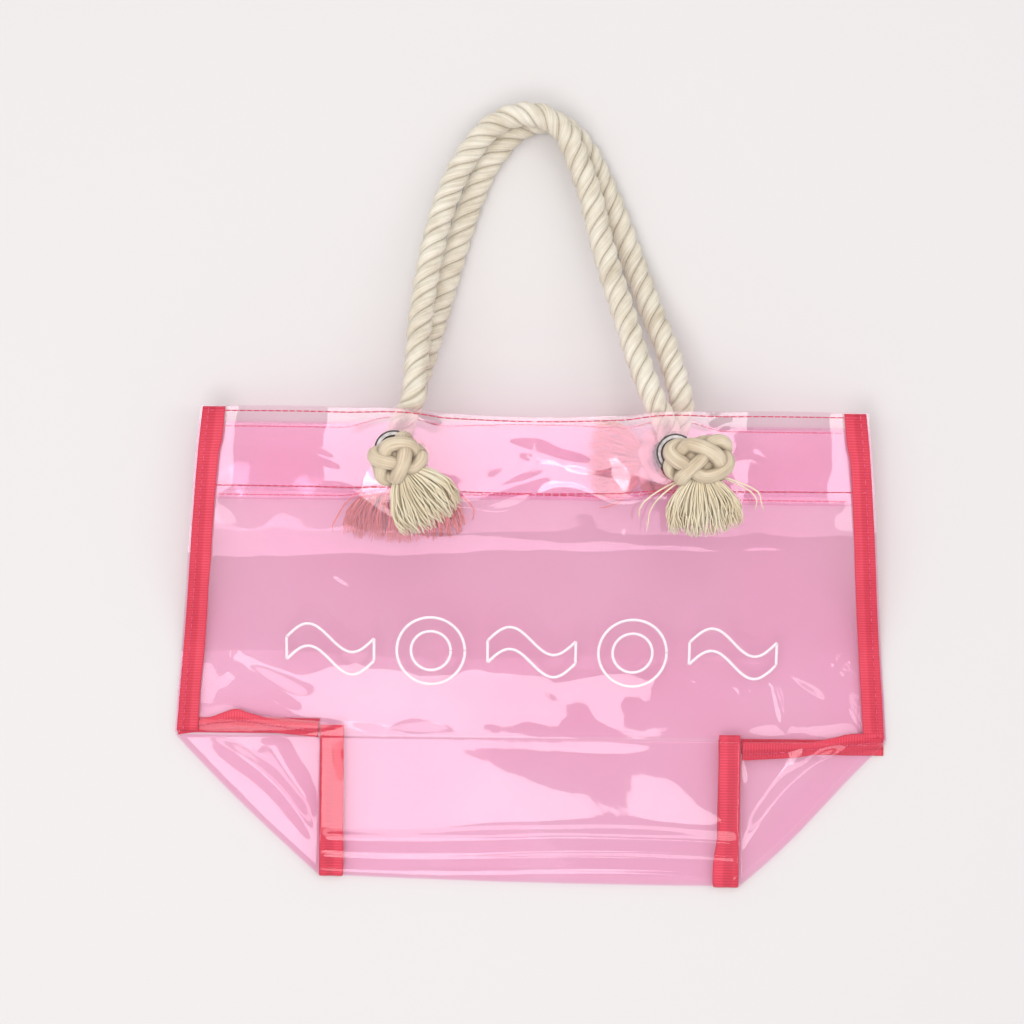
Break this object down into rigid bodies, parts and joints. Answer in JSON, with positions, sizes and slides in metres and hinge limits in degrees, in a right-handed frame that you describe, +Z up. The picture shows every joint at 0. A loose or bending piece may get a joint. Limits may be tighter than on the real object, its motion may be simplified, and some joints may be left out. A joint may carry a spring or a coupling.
{
  "type": "beach bag",
  "caption": "Clear tinted beach tote with bound seams, a folded boxed base and knotted rope handles through metal eyelets, lying on its back.",
  "frame": {"origin": "centre of the rear crease line on the plane that the bag lies on", "axes": "+X across the bag, +Y from the base to the mouth and handles, +Z up out of the front wall"},
  "size_m": [0.506, 0.5506, 0.105],
  "materials": {
    "film": "clear glossy soft film",
    "tape": "ribbed grosgrain",
    "thread": "sewing thread",
    "rope": "soft twisted cotton",
    "eyelet_metal": "nickel plated",
    "ink": "screen print"
  },
  "bodies": {
    "back_wall": {"back_panel": "film", "base_panel": "film", "left_gusset": "film", "right_gusset": "film", "back_hem": "film", "left_side_tape": "tape", "right_side_tape": "tape", "left_across_tape": "tape", "right_across_tape": "tape", "left_down_tape": "tape", "right_down_tape": "tape", "back_top_thread": "thread", "back_hem_thread": "thread", "left_side_thread": "thread", "right_side_thread": "thread", "left_down_thread": "thread", "right_down_thread": "thread", "left_across_thread": "thread", "right_across_thread": "thread", "back_left_eyelet": "eyelet_metal", "back_right_eyelet": "eyelet_metal", "back_left_washer": "eyelet_metal", "back_right_washer": "eyelet_metal", "back_left_rope_end": "rope", "back_right_rope_end": "rope"},
    "front_wall": {"front_panel": "film", "front_hem": "film", "front_top_thread": "thread", "front_hem_thread": "thread", "front_print": "ink", "front_left_eyelet": "eyelet_metal", "front_right_eyelet": "eyelet_metal", "front_left_washer": "eyelet_metal", "front_right_washer": "eyelet_metal", "front_left_rope_end": "rope", "front_right_rope_end": "rope"},
    "front_handle": {"front_handle_rope": "rope"},
    "back_handle": {"back_handle_rope": "rope"},
    "front_left_knot_body": {"front_left_knot": "rope"},
    "front_left_tassel_body": {"front_left_tassel": "rope"},
    "front_right_knot_body": {"front_right_knot": "rope"},
    "front_right_tassel_body": {"front_right_tassel": "rope"},
    "back_left_knot_body": {"back_left_knot": "rope"},
    "back_left_tassel_body": {"back_left_tassel": "rope"},
    "back_right_knot_body": {"back_right_knot": "rope"},
    "back_right_tassel_body": {"back_right_tassel": "rope"}
  },
  "joints": [
    {"name": "mouth_open", "type": "hinge", "parent": "back_wall", "child": "front_wall", "pos_m": [0, 0.0002, 0.01525], "axis": [1, 0, 0], "range_deg": [0, 15]},
    {"name": "front_handle_fold", "type": "hinge", "parent": "front_wall", "child": "front_handle", "pos_m": [0, 0.2335, 0.078], "axis": [1, 0, 0], "range_deg": [0, 110]},
    {"name": "back_handle_fold", "type": "hinge", "parent": "back_wall", "child": "back_handle", "pos_m": [0, 0.2335, 0.028], "axis": [1, 0, 0], "range_deg": [-110, 0]},
    {"name": "front_left_knot_turn", "type": "hinge", "parent": "front_wall", "child": "front_left_knot_body", "pos_m": [-0.097, 0.202, 0.0745], "axis": [0, 0, 1], "range_deg": [-25, 25]},
    {"name": "front_left_tassel_swing", "type": "hinge", "parent": "front_left_knot_body", "child": "front_left_tassel_body", "pos_m": [-0.07712, 0.17411, 0.08375], "axis": [-0.788, -0.6157, 0], "range_deg": [0, 60]},
    {"name": "front_right_knot_turn", "type": "hinge", "parent": "front_wall", "child": "front_right_knot_body", "pos_m": [0.097, 0.202, 0.0745], "axis": [0, 0, 1], "range_deg": [-25, 25]},
    {"name": "front_right_tassel_swing", "type": "hinge", "parent": "front_right_knot_body", "child": "front_right_tassel_body", "pos_m": [0.11525, 0.16712, 0.08375], "axis": [-0.9945, -0.1045, 0], "range_deg": [0, 60]},
    {"name": "back_left_knot_turn", "type": "hinge", "parent": "back_wall", "child": "back_left_knot_body", "pos_m": [-0.097, 0.202, 0.031], "axis": [0, 0, -1], "range_deg": [-25, 25]},
    {"name": "back_left_tassel_swing", "type": "hinge", "parent": "back_left_knot_body", "child": "back_left_tassel_body", "pos_m": [-0.093, 0.16795, 0.00725], "axis": [1, 0, 0], "range_deg": [0, 60]},
    {"name": "back_right_knot_turn", "type": "hinge", "parent": "back_wall", "child": "back_right_knot_body", "pos_m": [0.097, 0.202, 0.031], "axis": [0, 0, -1], "range_deg": [-25, 25]},
    {"name": "back_right_tassel_swing", "type": "hinge", "parent": "back_right_knot_body", "child": "back_right_tassel_body", "pos_m": [0.06097, 0.19708, 0.00725], "axis": [-0.0349, -0.9994, 0], "range_deg": [0, 60]}
  ]
}
